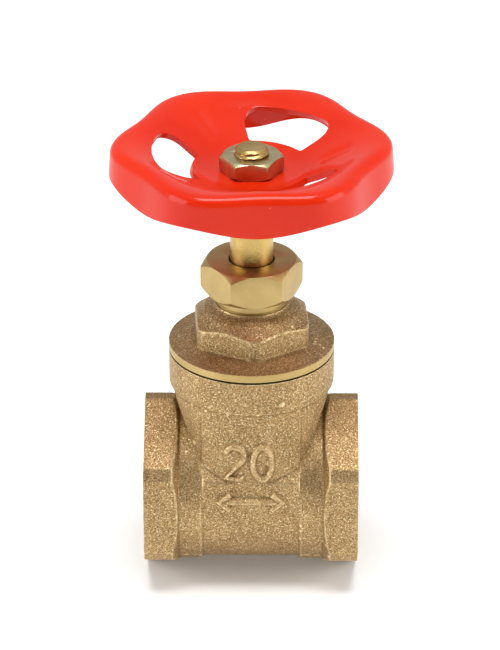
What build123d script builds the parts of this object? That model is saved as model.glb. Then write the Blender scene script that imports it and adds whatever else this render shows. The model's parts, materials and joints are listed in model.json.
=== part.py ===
from build123d import *
import math
import os

# A screwed-bonnet brass gate valve with a non-rising stem.
# Millimetres and degrees. The origin is where the stem axis (Z) crosses the pipe axis (X).
# The wedge is drawn fully open, which is the rest pose.

# ---- clearances ----
RUN_CLEARANCE = 0.05          # radial gap of a turning or sliding fit
THREAD_CLEARANCE = 0.05       # radial gap of a thread drawn as a plain cylinder
PACKING_GAP = 0.02            # radial gap of the soft rings

# ---- pipe ends ----
FACE_TO_FACE = 38.7
HEX_ACROSS_FLATS = 30.5
HEX_ACROSS_CUT_CORNERS = 33.86
COLLAR_LENGTH = 6.15
COLLAR_CONE_RADIAL = 1.69     # the collar's corners are turned back to a cone on the inner side
COLLAR_CONE_AXIAL = 0.96
NECK_RADIUS = 14.8
PIPE_THREAD_RADIUS = 13.22
PIPE_THREAD_LENGTH = 10.0
PIPE_MOUTH_CHAMFER = 0.9

# ---- chamber ----
CHAMBER_HALF_WIDTH = 8.9      # along the pipe
CHAMBER_HALF_DEPTH = 14.35    # across the pipe, also the radius of the rounded bottom
CHAMBER_EDGE_DEPTH = 11.9     # above the shoulder the front and back bow in to this at their sides
CHAMBER_ROUND_RADIUS = 14.5   # upright cylinder that carries the ring
SHOULDER_BOTTOM_Z = 6.6
FLARE_START_Z = 8.6
FLARE_HALF_WIDTH = 14.2
RING_RADIUS = 14.92
RING_BOTTOM_Z = 20.75
RING_TOP_Z = 27.0
SPIGOT_LEDGE = 0.3            # step that the bonnet's spigot comes down on
WATERWAY_RADIUS = 8.0
CAVITY_HALF_WIDTH = 7.0
SEAT_RADIUS = 9.6
SEAT_HALF_GAP = 5.6           # at the pipe axis
SEAT_SLOPE = 4.0
GUIDE_HALF_WIDTH = 1.3
GUIDE_INNER_Y = 9.0
GUIDE_BOTTOM_Z = -3.0
GUIDE_TOP_Z = 19.5

# ---- bonnet ----
BONNET_THREAD_RADIUS = 13.0
BONNET_THREAD_LENGTH = 6.2
GASKET_THICKNESS = 0.4
GASKET_RADIUS = 14.35
FLANGE_EDGE_HEIGHT = 1.25
FLANGE_SLOPE_RISE = 0.95
BONNET_HEX_ACROSS_FLATS = 20.0
BONNET_HEX_TURN = 3.7        # where the thread brought the hexagon to rest
BONNET_HEX_HEIGHT = 4.3
BONNET_HEX_CORNER_RADIUS = 11.1
SHOULDER_CORNER_DROP = 0.6    # how far the shoulder falls below the flats' top at the corners
SHOULDER_CONE_RISE = 1.3
NOSE_FOOT_FLARE = 2.45        # the foot is this much wider than the turned neck
NOSE_FOOT_RISE = 1.2
THREAD_RELIEF = 0.45          # the turned neck is this much thinner than the thread above it
TURNED_NECK_HEIGHT = 2.15
NOSE_WALL = 1.1
NOSE_THREAD_LENGTH = 3.05
SPIGOT_WALL = 1.5
BONNET_BORE_DEPTH = 7.4       # from the spigot's lower end
CROWN_BORE_GAP = 1.5          # around the wedge's boss
CROWN_BORE_DEPTH = 3.1
STUFFING_WEB = 2.4            # metal under the stuffing box
PACKING_WIDTH = 1.525         # radial, from the stem to the stuffing box

# ---- stem ----
STEM_RADIUS = 3.875
STEM_THREAD_STEP = 0.075      # the thread stands this far out of the stem
STEM_LOWER_END_Z = 9.5
STEM_COLLAR_GAP = 0.15        # from the collar to the stuffing box
STEM_COLLAR_HEIGHT = 2.0
LOWER_WASHER_THICKNESS = 1.0
UPPER_WASHER_THICKNESS = 0.8
PACKING_RING_HEIGHT = 1.1
PACKING_RING_COUNT = 3
FOLLOWER_HEIGHT = 1.8
STEM_SHOULDER_Z = 60.65       # where the wheel's hub rests
STEM_SQUARE = 6.2
STUB_RADIUS = 3.0
STUB_TIP_RADIUS = 2.5         # root of the thread, above the nut
STUB_SHOWING = 1.5            # length above the wheel nut
STUB_TIP_CHAMFER = 0.5

# ---- gland nut ----
GLAND_NUT_WALL = 1.5          # over the flats
GLAND_NUT_ROOF = 2.1
GLAND_NUT_HOLE_GAP = 0.275    # around the stem
GLAND_NUT_CHAMFER_RISE = 1.3
GLAND_NUT_TURN = 6.8          # where tightening left it
NUT_CORNER_ROUNDING = 0.2

# ---- wheel ----
SHEET = 1.2
WHEEL_MEAN_RADIUS = 24.1
LOBE_SWING = 1.1              # lobes stand this far out and notches this far in
LOBES = 6
FIRST_LOBE_ANGLE = 64.0       # from +X towards +Y
RIM_CREST_RISE = 5.6          # heights of the wheel are counted from the top of its hub
RIM_ROUNDING = 1.5
SKIRT_LOBE_DROP = 0.05
SKIRT_NOTCH_DROP = 2.15
HUB_FLAT_RADIUS = 6.5
HUB_EDGE_RADIUS = 10.5
HUB_EDGE_RISE = 0.95
DISH_MID_RADIUS = 15.0
DISH_MID_RISE = 3.15
DISH_TOP_RADIUS = 21.2
WINDOWS = 3
WINDOW_OUTER_RADIUS = 17.8
WINDOW_INNER_HALF_ANGLE = 29.0
WINDOW_OUTER_HALF_ANGLE = 35.0
WINDOW_OUTER_ROUNDING = 4.2
WINDOW_INNER_ROUNDING = 0.4
WHEEL_NUT_ACROSS_FLATS = 10.0
WHEEL_NUT_HEIGHT = 3.15
WHEEL_NUT_CHAMFER_RISE = 0.55

# ---- wedge ----
WEDGE_LIFT = 17.625           # from closed to fully open
WEDGE_SEAT_CLEARANCE = 0.03
WEDGE_HALF_DEPTH = 9.6
WEDGE_SHOULDER_Z = 8.6        # in the closed position
WEDGE_SHOULDER_ROUNDING = 2.0
WEDGE_TRIM_GAP = 0.25         # inside the bonnet's bore
WEDGE_BOSS_WALL = 2.05
WEDGE_TOP_Z = 13.5
WEDGE_FLOOR = 1.1

# ---- radii that follow from the stem and the threads ----
STEM_THREAD_RADIUS = STEM_RADIUS + STEM_THREAD_STEP
STUFFING_RADIUS = STEM_RADIUS + PACKING_WIDTH
STEM_COLLAR_RADIUS = STUFFING_RADIUS - STEM_COLLAR_GAP
NOSE_THREAD_RADIUS = STUFFING_RADIUS + NOSE_WALL
TURNED_NECK_RADIUS = NOSE_THREAD_RADIUS - THREAD_RELIEF
NOSE_FOOT_RADIUS = TURNED_NECK_RADIUS + NOSE_FOOT_FLARE
GLAND_NUT_ACROSS_FLATS = 2 * (NOSE_THREAD_RADIUS + GLAND_NUT_WALL)
GLAND_NUT_HOLE_RADIUS = STEM_RADIUS + GLAND_NUT_HOLE_GAP
WEDGE_BOSS_RADIUS = STEM_THREAD_RADIUS + WEDGE_BOSS_WALL
CROWN_BORE_RADIUS = WEDGE_BOSS_RADIUS + CROWN_BORE_GAP
CAVITY_RADIUS = BONNET_THREAD_RADIUS - SPIGOT_LEDGE
BONNET_BORE_RADIUS = BONNET_THREAD_RADIUS - SPIGOT_WALL
WEDGE_TRIM_RADIUS = BONNET_BORE_RADIUS - WEDGE_TRIM_GAP

# ---- places that follow from the stack ----
FACE_X = FACE_TO_FACE / 2
COLLAR_INNER_X = FACE_X - COLLAR_LENGTH
THREAD_INNER_X = FACE_X - PIPE_THREAD_LENGTH
FLANGE_BOTTOM_Z = RING_TOP_Z + GASKET_THICKNESS
FLANGE_EDGE_TOP_Z = FLANGE_BOTTOM_Z + FLANGE_EDGE_HEIGHT
BONNET_HEX_BOTTOM_Z = FLANGE_EDGE_TOP_Z + FLANGE_SLOPE_RISE
BONNET_HEX_TOP_Z = BONNET_HEX_BOTTOM_Z + BONNET_HEX_HEIGHT
NOSE_FOOT_Z = BONNET_HEX_TOP_Z + SHOULDER_CONE_RISE
TURNED_NECK_Z = NOSE_FOOT_Z + NOSE_FOOT_RISE
GLAND_NUT_Z = TURNED_NECK_Z + TURNED_NECK_HEIGHT
NOSE_TOP_Z = GLAND_NUT_Z + NOSE_THREAD_LENGTH
SPIGOT_BOTTOM_Z = RING_TOP_Z - BONNET_THREAD_LENGTH
BONNET_BORE_TOP_Z = SPIGOT_BOTTOM_Z + BONNET_BORE_DEPTH
CROWN_Z = BONNET_BORE_TOP_Z + CROWN_BORE_DEPTH
STUFFING_FLOOR_Z = CROWN_Z + STUFFING_WEB
STEM_COLLAR_Z = STUFFING_FLOOR_Z + LOWER_WASHER_THICKNESS
UPPER_WASHER_Z = STEM_COLLAR_Z + STEM_COLLAR_HEIGHT
PACKING_Z = UPPER_WASHER_Z + UPPER_WASHER_THICKNESS
FOLLOWER_Z = PACKING_Z + PACKING_RING_COUNT * PACKING_RING_HEIGHT
GLAND_ROOF_Z = FOLLOWER_Z + FOLLOWER_HEIGHT
GLAND_NUT_TOP_Z = GLAND_ROOF_Z + GLAND_NUT_ROOF
HUB_TOP_Z = STEM_SHOULDER_Z + SHEET
RIM_CREST_Z = HUB_TOP_Z + RIM_CREST_RISE
SKIRT_LOBE_Z = HUB_TOP_Z - SKIRT_LOBE_DROP
SKIRT_NOTCH_Z = HUB_TOP_Z - SKIRT_NOTCH_DROP
WHEEL_NUT_TOP_Z = HUB_TOP_Z + WHEEL_NUT_HEIGHT
STUB_TOP_Z = WHEEL_NUT_TOP_Z + STUB_SHOWING
CUT_MARGIN = 1.0              # how far a cutting tool runs past the face that it cuts


def turned(points):
    """Turn a closed outline of (radius, height) points about the stem axis."""
    outline = Plane.XZ * make_face(Polyline(*points, close=True))
    return revolve(outline, Axis.Z)


def turned_about_pipe(points):
    """Turn a closed outline of (x, radius) points about the pipe axis."""
    outline = Plane.XZ * make_face(Polyline(*points, close=True))
    return revolve(outline, Axis.X)


def disc(radius, low, high):
    return turned([(0, low), (radius, low), (radius, high), (0, high)])


def ring(inner, outer, low, high):
    return turned([(inner, low), (outer, low), (outer, high), (inner, high)])


def pipe_cylinder(radius, low_x, high_x):
    return turned_about_pipe([(low_x, 0), (high_x, 0), (high_x, radius), (low_x, radius)])


def hex_prism(across_flats, low, high, turn=0.0):
    """Upright hexagon with a flat towards -Y when turn is 0."""
    outline = RegularPolygon(across_flats / 2, 6, major_radius=False, rotation=turn)
    return extrude(Plane.XY.offset(low) * outline, high - low)


def turned_nut(across_flats, low, high, chamfer_rise, turn=0.0):
    """Hexagon whose corners are turned to a cone at both ends."""
    flat = across_flats / 2
    corner = flat / math.cos(math.radians(30))
    cone = turned([
        (0, low),
        (flat, low),
        (corner, low + chamfer_rise),
        (corner, high - chamfer_rise),
        (flat, high),
        (0, high),
    ])
    prism = hex_prism(across_flats, low, high, turn)
    prism = fillet(prism.edges().filter_by(Axis.Z), NUT_CORNER_ROUNDING)
    return prism & cone


def block(low, high):
    """Box between two corners."""
    size = [b - a for a, b in zip(low, high)]
    return Pos(*low) * Box(*size, align=(Align.MIN, Align.MIN, Align.MIN))


def taper_between_seats(half_gap, low_z, high_z, half_depth):
    """Tapered block with half_gap on each side of the pipe axis, thinner towards the bottom."""
    slope = math.tan(math.radians(SEAT_SLOPE))
    low = half_gap + low_z * slope
    high = half_gap + high_z * slope
    outline = Polyline((-low, low_z), (low, low_z), (high, high_z), (-high, high_z), close=True)
    return extrude(Plane.XZ * make_face(outline), half_depth, both=True)


# ---------------------------------------------------------------- body
def make_collar(side):
    """Hexagonal pipe end with cut corners and a cone on its inner side."""
    across = Plane.YZ.offset(COLLAR_INNER_X)
    hexagon = RegularPolygon(HEX_ACROSS_FLATS / 2, 6, major_radius=False, rotation=30)
    cut = RegularPolygon(HEX_ACROSS_CUT_CORNERS / 2, 6, major_radius=False, rotation=0)
    collar = extrude(across * hexagon, COLLAR_LENGTH) & extrude(across * cut, COLLAR_LENGTH)
    corner = HEX_ACROSS_CUT_CORNERS / 2 + CUT_MARGIN
    slope = COLLAR_CONE_AXIAL / COLLAR_CONE_RADIAL
    cone_start = HEX_ACROSS_CUT_CORNERS / 2 - COLLAR_CONE_RADIAL
    cone = turned_about_pipe([
        (COLLAR_INNER_X, 0),
        (COLLAR_INNER_X, cone_start),
        (COLLAR_INNER_X + (corner - cone_start) * slope, corner),
        (FACE_X, corner),
        (FACE_X, 0),
    ])
    collar = collar & cone
    return collar if side > 0 else mirror(collar, about=Plane.YZ)


def make_chamber_outside():
    """Narrow chamber with a rounded bottom and bowed sides, flaring up to the round ring."""
    tube = disc(CHAMBER_ROUND_RADIUS, 0, RING_BOTTOM_Z)
    flare_outline = Polyline(
        (-CHAMBER_HALF_WIDTH, 0),
        (CHAMBER_HALF_WIDTH, 0),
        (CHAMBER_HALF_WIDTH, FLARE_START_Z),
        (FLARE_HALF_WIDTH, RING_BOTTOM_Z),
        (-FLARE_HALF_WIDTH, RING_BOTTOM_Z),
        (-CHAMBER_HALF_WIDTH, FLARE_START_Z),
        close=True,
    )
    flare = extrude(Plane.XZ * make_face(flare_outline), RING_RADIUS + CUT_MARGIN, both=True)
    bow = CHAMBER_HALF_DEPTH - CHAMBER_EDGE_DEPTH
    shoulder_top_z = SHOULDER_BOTTOM_Z + bow
    pocket_outline = make_face(
        Line((-CHAMBER_HALF_DEPTH, 0), (-CHAMBER_HALF_DEPTH, SHOULDER_BOTTOM_Z))
        + Line((-CHAMBER_HALF_DEPTH, SHOULDER_BOTTOM_Z), (-CHAMBER_EDGE_DEPTH, shoulder_top_z))
        + Line((-CHAMBER_EDGE_DEPTH, shoulder_top_z), (CHAMBER_EDGE_DEPTH, shoulder_top_z))
        + Line((CHAMBER_EDGE_DEPTH, shoulder_top_z), (CHAMBER_HALF_DEPTH, SHOULDER_BOTTOM_Z))
        + Line((CHAMBER_HALF_DEPTH, SHOULDER_BOTTOM_Z), (CHAMBER_HALF_DEPTH, 0))
        + ThreePointArc((CHAMBER_HALF_DEPTH, 0), (0, -CHAMBER_HALF_DEPTH), (-CHAMBER_HALF_DEPTH, 0))
    )
    pocket = extrude(Plane.YZ * pocket_outline, CHAMBER_HALF_WIDTH, both=True)
    column = block(
        (-CHAMBER_HALF_WIDTH, -CHAMBER_HALF_DEPTH, 0),
        (CHAMBER_HALF_WIDTH, CHAMBER_HALF_DEPTH, RING_BOTTOM_Z),
    )
    bow_radius = (CHAMBER_HALF_WIDTH**2 + bow**2) / (2 * bow)
    for side in (-1, 1):
        column = column & Pos(0, side * (bow_radius - CHAMBER_HALF_DEPTH), 0) * Cylinder(
            bow_radius, 4 * CHAMBER_HALF_DEPTH
        )
    return (tube & flare) + column + pocket


def make_cavity():
    """Hollow for the wedge, open at the top into the bonnet's thread."""
    bottom = pipe_cylinder(CAVITY_RADIUS, -CAVITY_HALF_WIDTH, CAVITY_HALF_WIDTH)
    shaft = disc(CAVITY_RADIUS, 0, SPIGOT_BOTTOM_Z)
    slab = block(
        (-CAVITY_HALF_WIDTH, -CAVITY_RADIUS, 0),
        (CAVITY_HALF_WIDTH, CAVITY_RADIUS, SPIGOT_BOTTOM_Z),
    )
    return bottom + (shaft & slab)


def make_seats():
    """Two round bosses whose faces lean with the wedge."""
    bosses = pipe_cylinder(SEAT_RADIUS, -THREAD_INNER_X, THREAD_INNER_X)
    return bosses - taper_between_seats(SEAT_HALF_GAP, -RING_RADIUS, RING_RADIUS, RING_RADIUS)


def make_guides():
    """Two upright ribs that the wedge slides on."""
    ribs = None
    for side in (-1, 1):
        low_y, high_y = sorted((side * GUIDE_INNER_Y, side * (CAVITY_RADIUS + RUN_CLEARANCE)))
        rib = block(
            (-GUIDE_HALF_WIDTH, low_y, GUIDE_BOTTOM_Z), (GUIDE_HALF_WIDTH, high_y, GUIDE_TOP_Z)
        )
        ribs = rib if ribs is None else ribs + rib
    return ribs


def make_body():
    body = make_chamber_outside()
    for side in (-1, 1):
        low_x, high_x = sorted((side * CHAMBER_HALF_WIDTH, side * (COLLAR_INNER_X + CUT_MARGIN)))
        body += pipe_cylinder(NECK_RADIUS, low_x, high_x)
        body += make_collar(side)
    body += disc(RING_RADIUS, RING_BOTTOM_Z, RING_TOP_Z)
    body -= make_cavity()
    body += make_seats()
    body += make_guides()
    body -= pipe_cylinder(WATERWAY_RADIUS, -FACE_X, FACE_X)
    body -= disc(BONNET_THREAD_RADIUS, SPIGOT_BOTTOM_Z, RING_TOP_Z + CUT_MARGIN)
    for side in (-1, 1):
        body -= turned_about_pipe([
            (side * THREAD_INNER_X, 0),
            (side * THREAD_INNER_X, PIPE_THREAD_RADIUS),
            (side * (FACE_X - PIPE_MOUTH_CHAMFER), PIPE_THREAD_RADIUS),
            (side * FACE_X, PIPE_THREAD_RADIUS + PIPE_MOUTH_CHAMFER),
            (side * FACE_X, 0),
        ])
    return body


# ---------------------------------------------------------------- bonnet and its gasket
def make_bonnet():
    spigot_radius = BONNET_THREAD_RADIUS - THREAD_CLEARANCE
    bonnet = turned([
        (0, SPIGOT_BOTTOM_Z),
        (spigot_radius, SPIGOT_BOTTOM_Z),
        (spigot_radius, FLANGE_BOTTOM_Z),
        (RING_RADIUS, FLANGE_BOTTOM_Z),
        (RING_RADIUS, FLANGE_EDGE_TOP_Z),
        (BONNET_HEX_CORNER_RADIUS, BONNET_HEX_BOTTOM_Z),
        (0, BONNET_HEX_BOTTOM_Z),
    ])
    crown = turned([
        (0, FLANGE_EDGE_TOP_Z),
        (BONNET_HEX_CORNER_RADIUS, FLANGE_EDGE_TOP_Z),
        (BONNET_HEX_CORNER_RADIUS, BONNET_HEX_TOP_Z - SHOULDER_CORNER_DROP),
        (BONNET_HEX_ACROSS_FLATS / 2, BONNET_HEX_TOP_Z),
        (NOSE_FOOT_RADIUS, NOSE_FOOT_Z),
        (0, NOSE_FOOT_Z),
    ])
    bonnet += crown & hex_prism(
        BONNET_HEX_ACROSS_FLATS, FLANGE_EDGE_TOP_Z, NOSE_FOOT_Z, 30 + BONNET_HEX_TURN
    )
    bonnet += turned([
        (0, NOSE_FOOT_Z - CUT_MARGIN),
        (NOSE_FOOT_RADIUS, NOSE_FOOT_Z - CUT_MARGIN),
        (NOSE_FOOT_RADIUS, NOSE_FOOT_Z),
        (TURNED_NECK_RADIUS, TURNED_NECK_Z),
        (TURNED_NECK_RADIUS, GLAND_NUT_Z),
        (NOSE_THREAD_RADIUS, GLAND_NUT_Z),
        (NOSE_THREAD_RADIUS, NOSE_TOP_Z),
        (0, NOSE_TOP_Z),
    ])
    bonnet -= disc(BONNET_BORE_RADIUS, SPIGOT_BOTTOM_Z, BONNET_BORE_TOP_Z)
    bonnet -= disc(CROWN_BORE_RADIUS, BONNET_BORE_TOP_Z - CUT_MARGIN, CROWN_Z)
    bonnet -= disc(STEM_THREAD_RADIUS + RUN_CLEARANCE, CROWN_Z - CUT_MARGIN, STUFFING_FLOOR_Z + CUT_MARGIN)
    bonnet -= disc(STUFFING_RADIUS, STUFFING_FLOOR_Z, NOSE_TOP_Z + CUT_MARGIN)
    return bonnet


def make_bonnet_gasket():
    return ring(BONNET_THREAD_RADIUS, GASKET_RADIUS, RING_TOP_Z, FLANGE_BOTTOM_Z)


# ---------------------------------------------------------------- stem and its seals
def make_stem():
    stem = turned([
        (0, STEM_LOWER_END_Z),
        (STEM_THREAD_RADIUS - STUB_TIP_CHAMFER, STEM_LOWER_END_Z),
        (STEM_THREAD_RADIUS, STEM_LOWER_END_Z + STUB_TIP_CHAMFER),
        (STEM_THREAD_RADIUS, CROWN_Z),
        (STEM_RADIUS, CROWN_Z),
        (STEM_RADIUS, STEM_COLLAR_Z),
        (STEM_COLLAR_RADIUS, STEM_COLLAR_Z),
        (STEM_COLLAR_RADIUS, UPPER_WASHER_Z),
        (STEM_RADIUS, UPPER_WASHER_Z),
        (STEM_RADIUS, STEM_SHOULDER_Z),
        (0, STEM_SHOULDER_Z),
    ])
    square = Pos(0, 0, STEM_SHOULDER_Z) * Box(
        STEM_SQUARE, STEM_SQUARE, SHEET, align=(Align.CENTER, Align.CENTER, Align.MIN)
    )
    stem += square & disc(STEM_RADIUS, STEM_SHOULDER_Z, HUB_TOP_Z)
    stem += turned([
        (0, STEM_SHOULDER_Z),
        (STUB_RADIUS, STEM_SHOULDER_Z),
        (STUB_RADIUS, WHEEL_NUT_TOP_Z),
        (STUB_TIP_RADIUS, WHEEL_NUT_TOP_Z),
        (STUB_TIP_RADIUS, STUB_TOP_Z - STUB_TIP_CHAMFER),
        (STUB_TIP_RADIUS - STUB_TIP_CHAMFER, STUB_TOP_Z),
        (0, STUB_TOP_Z),
    ])
    return stem


def make_thrust_washer(low, thickness):
    return ring(STEM_RADIUS + RUN_CLEARANCE, STUFFING_RADIUS - RUN_CLEARANCE, low, low + thickness)


def make_packing_ring(index):
    low = PACKING_Z + index * PACKING_RING_HEIGHT
    return ring(
        STEM_RADIUS + PACKING_GAP, STUFFING_RADIUS - PACKING_GAP, low, low + PACKING_RING_HEIGHT
    )


def make_gland_follower():
    return ring(STEM_RADIUS + RUN_CLEARANCE, STUFFING_RADIUS - RUN_CLEARANCE, FOLLOWER_Z, GLAND_ROOF_Z)


def make_gland_nut():
    nut = turned_nut(
        GLAND_NUT_ACROSS_FLATS, GLAND_NUT_Z, GLAND_NUT_TOP_Z, GLAND_NUT_CHAMFER_RISE, GLAND_NUT_TURN
    )
    nut -= disc(NOSE_THREAD_RADIUS + THREAD_CLEARANCE, GLAND_NUT_Z - CUT_MARGIN, GLAND_ROOF_Z)
    nut -= disc(GLAND_NUT_HOLE_RADIUS, GLAND_NUT_Z, GLAND_NUT_TOP_Z + CUT_MARGIN)
    return nut


# ---------------------------------------------------------------- wedge
def make_wedge():
    """Hollow wedge in the closed position, lifted to the open one at the end."""
    profile = make_face(
        Line((WEDGE_HALF_DEPTH, 0), (WEDGE_HALF_DEPTH, WEDGE_SHOULDER_Z))
        + Line((WEDGE_HALF_DEPTH, WEDGE_SHOULDER_Z), (-WEDGE_HALF_DEPTH, WEDGE_SHOULDER_Z))
        + Line((-WEDGE_HALF_DEPTH, WEDGE_SHOULDER_Z), (-WEDGE_HALF_DEPTH, 0))
        + ThreePointArc((-WEDGE_HALF_DEPTH, 0), (0, -WEDGE_HALF_DEPTH), (WEDGE_HALF_DEPTH, 0))
    )
    corners = profile.vertices().sort_by(Axis.Y)[-2:]
    profile = fillet(corners, WEDGE_SHOULDER_ROUNDING)
    plate = extrude(Plane.YZ * profile, CAVITY_HALF_WIDTH, both=True)
    half_gap = SEAT_HALF_GAP - WEDGE_SEAT_CLEARANCE
    wedge = plate & taper_between_seats(half_gap, -RING_RADIUS, WEDGE_TOP_Z, RING_RADIUS)
    wedge = wedge & disc(WEDGE_TRIM_RADIUS, -RING_RADIUS, WEDGE_TOP_Z)
    wedge += disc(WEDGE_BOSS_RADIUS, WEDGE_SHOULDER_Z - CUT_MARGIN, WEDGE_TOP_Z)
    thread_radius = STEM_THREAD_RADIUS + THREAD_CLEARANCE
    wedge -= disc(thread_radius, WEDGE_FLOOR - WEDGE_HALF_DEPTH, WEDGE_TOP_Z + CUT_MARGIN)
    groove_half_width = GUIDE_HALF_WIDTH + RUN_CLEARANCE
    groove_y = GUIDE_INNER_Y - RUN_CLEARANCE
    for side in (-1, 1):
        low_y, high_y = sorted((side * groove_y, side * (WEDGE_HALF_DEPTH + CUT_MARGIN)))
        wedge -= block(
            (-groove_half_width, low_y, -RING_RADIUS), (groove_half_width, high_y, WEDGE_TOP_Z)
        )
    return Pos(0, 0, WEDGE_LIFT) * wedge


# ---------------------------------------------------------------- handwheel and its nut
def lobed_face(inset):
    """Outline of the rim as seen from above, moved in by inset."""
    points = []
    steps = LOBES * 8
    for step in range(steps):
        angle = 2 * math.pi * step / steps
        swing = LOBE_SWING * math.cos(LOBES * (angle - math.radians(FIRST_LOBE_ANGLE)))
        radius = WHEEL_MEAN_RADIUS + swing - inset
        points.append((radius * math.cos(angle), radius * math.sin(angle)))
    return make_face(Spline(*points, periodic=True))


def rim_block(inset, top):
    """Lobed block with a rounded upper edge."""
    low = SKIRT_NOTCH_Z - inset
    rim = extrude(Plane.XY.offset(low) * lobed_face(inset), top - low)
    upper_edges = rim.faces().sort_by(Axis.Z)[-1].edges()
    return fillet(upper_edges, RIM_ROUNDING - inset)


def above_dish(drop):
    """Everything over the dished web, moved down by drop."""
    hub = HUB_TOP_Z - drop
    crest = RIM_CREST_Z - drop
    return turned([
        (0, hub),
        (HUB_FLAT_RADIUS, hub),
        (HUB_EDGE_RADIUS, hub + HUB_EDGE_RISE),
        (DISH_MID_RADIUS, hub + DISH_MID_RISE),
        (DISH_TOP_RADIUS, crest),
        (DISH_TOP_RADIUS, crest + CUT_MARGIN),
        (0, crest + CUT_MARGIN),
    ])


def make_window():
    """Opening between two spokes, drawn on the +X side."""
    inner, outer = math.radians(WINDOW_INNER_HALF_ANGLE), math.radians(WINDOW_OUTER_HALF_ANGLE)

    def at(radius, angle):
        return (radius * math.cos(angle), radius * math.sin(angle))

    face = make_face(
        ThreePointArc(at(HUB_EDGE_RADIUS, -inner), at(HUB_EDGE_RADIUS, 0), at(HUB_EDGE_RADIUS, inner))
        + Line(at(HUB_EDGE_RADIUS, inner), at(WINDOW_OUTER_RADIUS, outer))
        + ThreePointArc(
            at(WINDOW_OUTER_RADIUS, outer), at(WINDOW_OUTER_RADIUS, 0), at(WINDOW_OUTER_RADIUS, -outer)
        )
        + Line(at(WINDOW_OUTER_RADIUS, -outer), at(HUB_EDGE_RADIUS, -inner))
    )
    by_radius = face.vertices().sort_by_distance((0, 0, 0))
    face = fillet(by_radius[2:], WINDOW_OUTER_ROUNDING)
    by_radius = face.vertices().sort_by_distance((0, 0, 0))
    face = fillet(by_radius[:2], WINDOW_INNER_ROUNDING)
    height = RIM_CREST_Z - SKIRT_NOTCH_Z
    return extrude(Plane.XY.offset(SKIRT_NOTCH_Z) * face, height)


def make_skirt_arches():
    """Round bars along the lobes; their tops lift the skirt's lower edge between the notches."""
    half_span = WHEEL_MEAN_RADIUS * math.sin(math.pi / LOBES)
    rise = SKIRT_LOBE_Z - SKIRT_NOTCH_Z
    bar_radius = (half_span**2 + rise**2) / (2 * rise)
    bars = None
    for index in range(LOBES):
        angle = FIRST_LOBE_ANGLE + index * 360 / LOBES
        bar = Pos(0, 0, SKIRT_LOBE_Z - bar_radius) * Rot(0, 90, 0) * Cylinder(
            bar_radius, 2 * WHEEL_MEAN_RADIUS, align=(Align.CENTER, Align.CENTER, Align.MIN)
        )
        arch = make_sector(angle) & (Rot(0, 0, angle) * bar)
        bars = arch if bars is None else bars + arch
    return bars


def make_sector(angle):
    """Upright pie slice, one lobe wide, centred on angle."""
    reach = 2 * WHEEL_MEAN_RADIUS
    half = math.radians(180 / LOBES)
    outline = Polyline(
        (0, 0),
        (reach * math.cos(half), -reach * math.sin(half)),
        (reach * math.cos(half), reach * math.sin(half)),
        close=True,
    )
    low = SKIRT_NOTCH_Z - CUT_MARGIN
    slice_height = RIM_CREST_Z - low
    return Rot(0, 0, angle) * extrude(Plane.XY.offset(low) * make_face(outline), slice_height)


def make_handwheel():
    outer = rim_block(0, RIM_CREST_Z) - above_dish(0)
    inner = rim_block(SHEET, RIM_CREST_Z - SHEET) - above_dish(SHEET)
    wheel = outer - inner
    wheel -= make_skirt_arches()
    window = make_window()
    for index in range(WINDOWS):
        wheel -= Rot(0, 0, FIRST_LOBE_ANGLE + index * 360 / WINDOWS) * window
    hole = Pos(0, 0, STEM_SHOULDER_Z) * Box(
        STEM_SQUARE + 2 * RUN_CLEARANCE,
        STEM_SQUARE + 2 * RUN_CLEARANCE,
        4 * SHEET,
    )
    return wheel - hole


def make_wheel_nut():
    nut = turned_nut(WHEEL_NUT_ACROSS_FLATS, HUB_TOP_Z, WHEEL_NUT_TOP_Z, WHEEL_NUT_CHAMFER_RISE)
    return nut - disc(STUB_RADIUS + THREAD_CLEARANCE, HUB_TOP_Z, WHEEL_NUT_TOP_Z)


def main():
    nodes = {
        "body": make_body(),
        "bonnet": make_bonnet(),
        "bonnet_gasket": make_bonnet_gasket(),
        "stem": make_stem(),
        "lower_thrust_washer": make_thrust_washer(STUFFING_FLOOR_Z, LOWER_WASHER_THICKNESS),
        "upper_thrust_washer": make_thrust_washer(UPPER_WASHER_Z, UPPER_WASHER_THICKNESS),
        "gland_follower": make_gland_follower(),
        "gland_nut": make_gland_nut(),
        "wedge": make_wedge(),
        "handwheel": make_handwheel(),
        "wheel_nut": make_wheel_nut(),
    }
    for index, place in enumerate(("lower", "middle", "upper")):
        nodes[f"packing_ring_{place}"] = make_packing_ring(index)
    os.makedirs("parts", exist_ok=True)
    for name, solid in nodes.items():
        export_step(solid, f"parts/{name}.step")


main()
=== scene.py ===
import itertools
import json
import math

import bmesh
import bpy
import numpy as np
from mathutils import Matrix, Vector


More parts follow.
